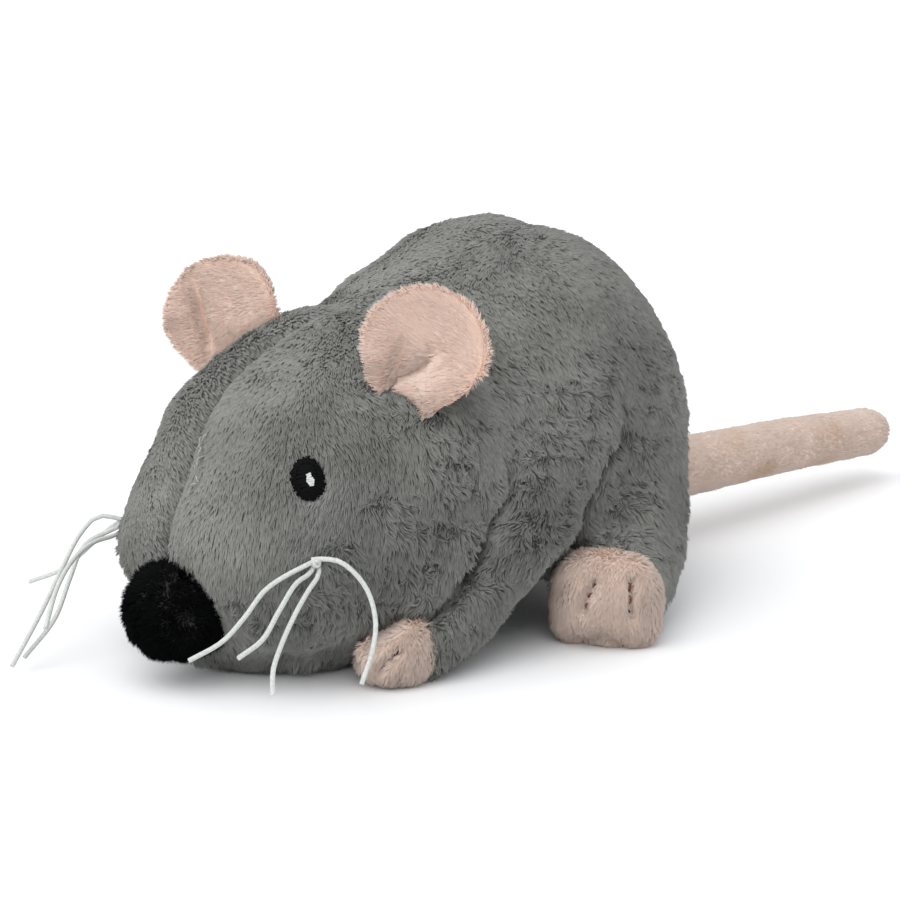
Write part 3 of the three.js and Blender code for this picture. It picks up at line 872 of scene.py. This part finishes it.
def addPaw(kind, side):
    name = f"{kind}paw_{side}"
    flip = np.array([1 if side == "left" else -1, 1, 1])
    route = smoothRoute(paws[kind]["route"], 101) * flip
    cuff = route[round(100 * paws["cuff"])]
    heading = unit(route[-1] - cuff)
    skin = skinFrom([name], f"{name}_skin", 0.7, 4)
    points, normals = readPoints(skin)
    beyond = (points - cuff) @ heading
    depth = np.full(len(points), float(paws["depth"] - paws[kind]["puff"]))
    slits, notches = ([np.array(line) * flip for line in paws[kind][part]] for part in ("slits", "notches"))
    for line in slits + notches:
        depth += paws["crease"] * np.exp(-(lineGap(points, [line]) / paws["creaseWidth"]) ** 2)
    points = foldIn(points, normals, paws[kind]["folds"], flip) - depth[:, None] * normals
    back = fade(beyond, 2.2, 0.6)[:, None]
    axis = cuff + ((points - cuff) @ heading)[:, None] * heading
    points = points - paws["rootIn"] * back * heading - paws["rootNarrow"] * back * (points - axis)
    # a squarer pad: its four corners are pushed out
    level = unit(np.cross(heading, [0, 0, 1]))
    off = points - axis
    turnSine = 2 * (off @ level) * (off[:, 2]) / np.maximum((off ** 2).sum(axis=1), 0.01)
    points = points + paws[kind]["corners"] * (turnSine ** 2 * fade(beyond, 0, 3))[:, None] * off
    movePoints(skin, points)
    evenOut(skin, 1)
    skin.data.materials.append(velourCloth)
    unwrap(skin)
    finishPiece(skin)
    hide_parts(name)
    addToeStitches(skin, slits, f"{name}_stitches")

    def flow(points, normals):
        along = np.tile(heading * 0.4 + [0, 0, -0.9], (len(points), 1)) + 0.2 * waves(points, 7, 31)
        return along, 54 + 8 * waves(points, 5, 32)[:, 0], 1 - 0.6 * fade(lineGap(points, slits), 2, 0.9)

    def share(points, normals):
        return np.where(((points - cuff) @ heading < -1.5) | (lineGap(points, slits) < 0.7), 0, 1)

    growPile(skin, f"{name}_pile", pawPile, flow, velourPile, share)


for kind in ("fore", "hind"):
    for side in ("left", "right"):
        addPaw(kind, side)


# Ears
ears = {
    # a pinch at the root, whose two arms part a lower lobe and a rolled front edge
    "left": {"at": (28, 25, 62.5), "turn": 32, "lean": -14, "roll": 18, "folds": [
        {"route": [[24.2, 17, 53.5], [24.8, 18.2, 55.4], [25.6, 19.7, 59.9], [26.6, 21.3, 64.2]],
         "depth": 2.1, "width": 1.1, "pinch": 0.2},
        {"route": [[24.8, 18.2, 55.4], [27, 20.8, 58.4], [29.7, 22.7, 60.7], [31.9, 24.5, 63.4]],
         "depth": 2.3, "width": 1.2, "pinch": 0.2},
        {"route": [[26.5, 20.6, 59.5], [28.2, 21.9, 62]], "depth": 0.9, "width": 2.2},
        {"route": [[21.8, 16.8, 58], [22, 18.4, 65]], "depth": -1.4, "width": 3.4},
        {"route": [[27.5, 18.6, 52.6], [31, 20.8, 55], [35.4, 24, 58.4]], "depth": -1.6, "width": 3},
    ]},
    # one long crease beside a front edge that is rolled over
    "right": {"at": (-27, 24.5, 61), "turn": 22, "lean": -10, "roll": -14, "folds": [
        {"route": [[-32.4, 20.8, 68.6], [-30.7, 20.3, 62.9], [-28.6, 20.4, 58.1], [-27.3, 20.3, 54.2]],
         "depth": 2.2, "width": 1.4, "pinch": 0.25},
        {"route": [[-35.6, 16.8, 66], [-35.4, 15.6, 58]], "depth": -1.5, "width": 3},
        {"route": [[-19.6, 25.9, 70.6], [-22, 25.5, 72]],
         "depth": -2.4, "width": 4, "along": [0.38, 0.3, 0.8]},
        {"route": [[-35.8, 20, 70], [-33.6, 21.4, 71.6]],
         "depth": -1.6, "width": 4, "along": [-0.5, -0.3, 0.75]},
    ]},
    "depth": 1.0, "rim": (10.5, 13.5), "rimShrink": 0.25,
}
earPile = {"seed": 7, "perMm2": 15, "locksPerMm2": 2.2, "length": 1.9, "width": 0.26, "soft": 0.6,
           "jitter": 0.12, "lockJitter": 0.16, "pull": 0.3, "lockReach": 0.9, "spread": 1}


def addEar(side):
    name = f"ear_{side}"
    place = ears[side]
    turn = turned(place)
    skin = skinFrom([name], f"{name}_skin", 0.6, 4)
    points, normals = readPoints(skin)
    front = np.tile(-turn[:, 1], (len(points), 1))
    points = foldIn(points, front, place["folds"]) - ears["depth"] * normals
    points = sinkIntoBody(points, normals, 4.5, 1)
    movePoints(skin, points)
    evenOut(skin, 1)
    skin.data.materials.append(pinkCloth)
    unwrap(skin)
    finishPiece(skin)
    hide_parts(name)

    def flow(points, normals):
        rim = fade(np.linalg.norm(points - place["at"], axis=1), *ears["rim"])[:, None]
        heading = (0.6 * rim - 1) * turn[:, 0] - 0.15 * turn[:, 2] + 0.14 * waves(points, 10, 41)
        heading += (0.4 + 1.5 * rim) * unit(points - place["at"])
        sure = np.clip(np.linalg.norm(heading, axis=1) / 0.6, 0.4, 1)
        lean = (74 + 3 * waves(points, 8, 42)[:, 0]) * sure
        return heading, lean, 1 - ears["rimShrink"] * rim[:, 0]

    growPile(skin, f"{name}_pile", earPile, flow, pinkPile)


addEar("left")
addEar("right")


# Tail
tail = {"depth": 0.6, "rootShift": 5, "rootEnd": 113}
tailPile = {"seed": 9, "perMm2": 5, "locksPerMm2": 1.2, "length": 1.5, "width": 0.26, "soft": 0.93,
            "jitter": 0.12, "lockJitter": 0.14, "pull": 0.2, "lockReach": 0.9, "spread": 0.4}


def tailFlow(points, normals):
    heading = np.tile([0.15, 1, -0.25], (len(points), 1)) + 0.15 * waves(points, 8, 51)
    return heading, 71 + 4 * waves(points, 9, 52)[:, 0], np.ones(len(points))


def addTail():
    skin = skinFrom(["tail"], "tail_skin", 0.8, 4)
    points, normals = readPoints(skin)
    points = points - tail["depth"] * normals
    points[:, 1] -= tail["rootShift"] * fade(points[:, 1], tail["rootEnd"], tail["rootEnd"] - 6)
    movePoints(skin, points)
    skin.data.materials.append(velourCloth)
    unwrap(skin)
    finishPiece(skin)
    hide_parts("tail")
    growPile(skin, "tail_pile", tailPile, tailFlow, velourPile)


addTail()


# Nose
nose = {"depth": 1.6, "rootShift": 3}
nosePile = {"seed": 13, "perMm2": 12, "locksPerMm2": 1.5, "length": 2.4, "width": 0.3, "soft": 0.4,
            "jitter": 0.22, "lockJitter": 0.3, "pull": 0.35, "lockReach": 1.1, "spread": 1}


def noseFlow(points, normals):
    heading = np.tile([0, 0, -0.6], (len(points), 1)) + 0.7 * waves(points, 6, 61)
    return heading, 35 + 12 * waves(points, 6, 62)[:, 0], np.ones(len(points))


def addNose():
    skin = skinFrom(["nose"], "nose_skin", 0.6, 3)
    points, normals = readPoints(skin)
    points = points - nose["depth"] * normals
    points[:, 1] += nose["rootShift"] * fade(normals[:, 1], 0.1, 0.5)
    movePoints(skin, points)
    evenOut(skin, 2)
    skin.data.materials.append(blackCloth)
    unwrap(skin)
    finishPiece(skin)
    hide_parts("nose")
    growPile(skin, "nose_pile", nosePile, noseFlow, blackPile)


addNose()


# Eyes
seamSpots = [[1.2, -10.3, 37.2], [0.3, -7.6, 41.4], [-0.1, -6.8, 42.8], [-1.5, -5.7, 44.3],
             [-1.7, -3.9, 46.6]]
seamThreads = {"count": 13, "radius": 0.13, "rise": 1.3, "seed": 23}


def addSeamThreads():
    # the ends of the seam's thread, which show in short loops on the face
    rng = np.random.default_rng(seamThreads["seed"])
    line = smoothRoute(seamSpots, seamThreads["count"] + 1)
    loops = []
    for start, end in zip(line, line[1:]):
        middle = spots(start + (end - start) * rng.random() + rng.normal(size=3) * 0.35)
        nearest, normal, _, _ = bodyTree.find_nearest(Vector(middle))
        along = unit(end - start + 0.8 * np.linalg.norm(end - start) * rng.normal(size=3))
        reach, lift = rng.uniform(0.5, 0.95), rng.uniform(0.1, 0.5)
        share = np.linspace(-1, 1, 7)[:, None]
        above = np.array(normal) * (seamThreads["rise"] + lift * (1 - share ** 2))
        loop = np.array(nearest) / mm + above + along * reach * share
        loops.append(curveToMesh(threadCurve("seam_loop", loop * mm, seamThreads["radius"] * mm,
                                             seamThread, 1)))
    finishPiece(joinAll(loops, "seam_threads"))


addSeamThreads()
eyeStitches = {"rows": 26, "radius": 0.25, "rise": 1.3, "sunk": {"left": 0.5, "right": 1.8},
               "ring": 46, "rimRadius": 0.24, "rimRise": 1.5, "seed": 17}
glint = {"at": (0.45, -0.6), "width": 0.85, "rows": 6, "step": 0.4, "rise": 0.35, "shift": 0.7,
         "radius": 0.24}


def addEye(side):
    # satin stitches laid side by side over an oval, with a few white ones on top for the glint
    rng = np.random.default_rng(eyeStitches["seed"])
    flip = np.array([1 if side == "left" else -1, 1, 1])
    turn = turned(eyes)

    def onEye(across, up, rise):
        bulge = max(0, 1 - (across / eyes["halfWidth"]) ** 2 - (up / eyes["halfHeight"]) ** 2) ** 0.5
        return (turn @ [across, eyeStitches["sunk"][side] - rise * bulge, up] + eyes["at"][flip[0]]) * flip

    black, white = [], []
    for row in range(eyeStitches["rows"]):
        up = (row + 0.5) / eyeStitches["rows"] * 2 - 1
        reach = eyes["halfWidth"] * (1 - up * up) ** 0.5 + rng.uniform(-0.1, 0.25)
        height = up * eyes["halfHeight"]
        slant = rng.uniform(-0.35, 0.35)
        line = [onEye(share * reach, height + slant * share, eyeStitches["rise"])
                for share in np.linspace(-1, 1, 9)]
        black.append(stitch(f"eye_row_{row}", line, eyeStitches["radius"], blackThread))
    for turnStep in range(eyeStitches["ring"]):
        # short stitches across the rim, of uneven length
        angle = (turnStep + rng.uniform(-0.4, 0.4)) / eyeStitches["ring"] * 2 * math.pi
        outer = rng.uniform(0.95, 1.24)
        across, up = eyes["halfWidth"] * math.cos(angle), eyes["halfHeight"] * math.sin(angle)
        line = [onEye(share * across, share * up, eyeStitches["rimRise"])
                for share in np.linspace(0.72, outer, 4)]
        black.append(stitch(f"eye_rim_{turnStep}", line, eyeStitches["rimRadius"], blackThread))
    for row in range(glint["rows"]):
        height = (row - (glint["rows"] - 1) / 2) * glint["step"]
        middle = glint["at"][0] - glint["shift"] * height / glint["rows"]
        reach = (glint["width"] - 0.45 * abs(height)) * rng.uniform(0.7, 1.1)
        slope = rng.uniform(-0.2, 0.35)
        line = [onEye(middle + share * reach, glint["at"][1] + height + slope * share,
                      eyeStitches["rise"] + glint["rise"]) for share in np.linspace(-1, 1, 5)]
        white.append(stitch(f"glint_row_{row}", line, glint["radius"], whiteThread))
    piece = finishPiece(joinAll(black, f"eye_{side}_stitches"))
    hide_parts(f"eye_{side}")
    finishPiece(joinAll(white, f"eye_{side}_glint"))
    print(f"eye_{side}: {len(black)} black stitches and {len(white)} white ones")


addEye("left")
addEye("right")
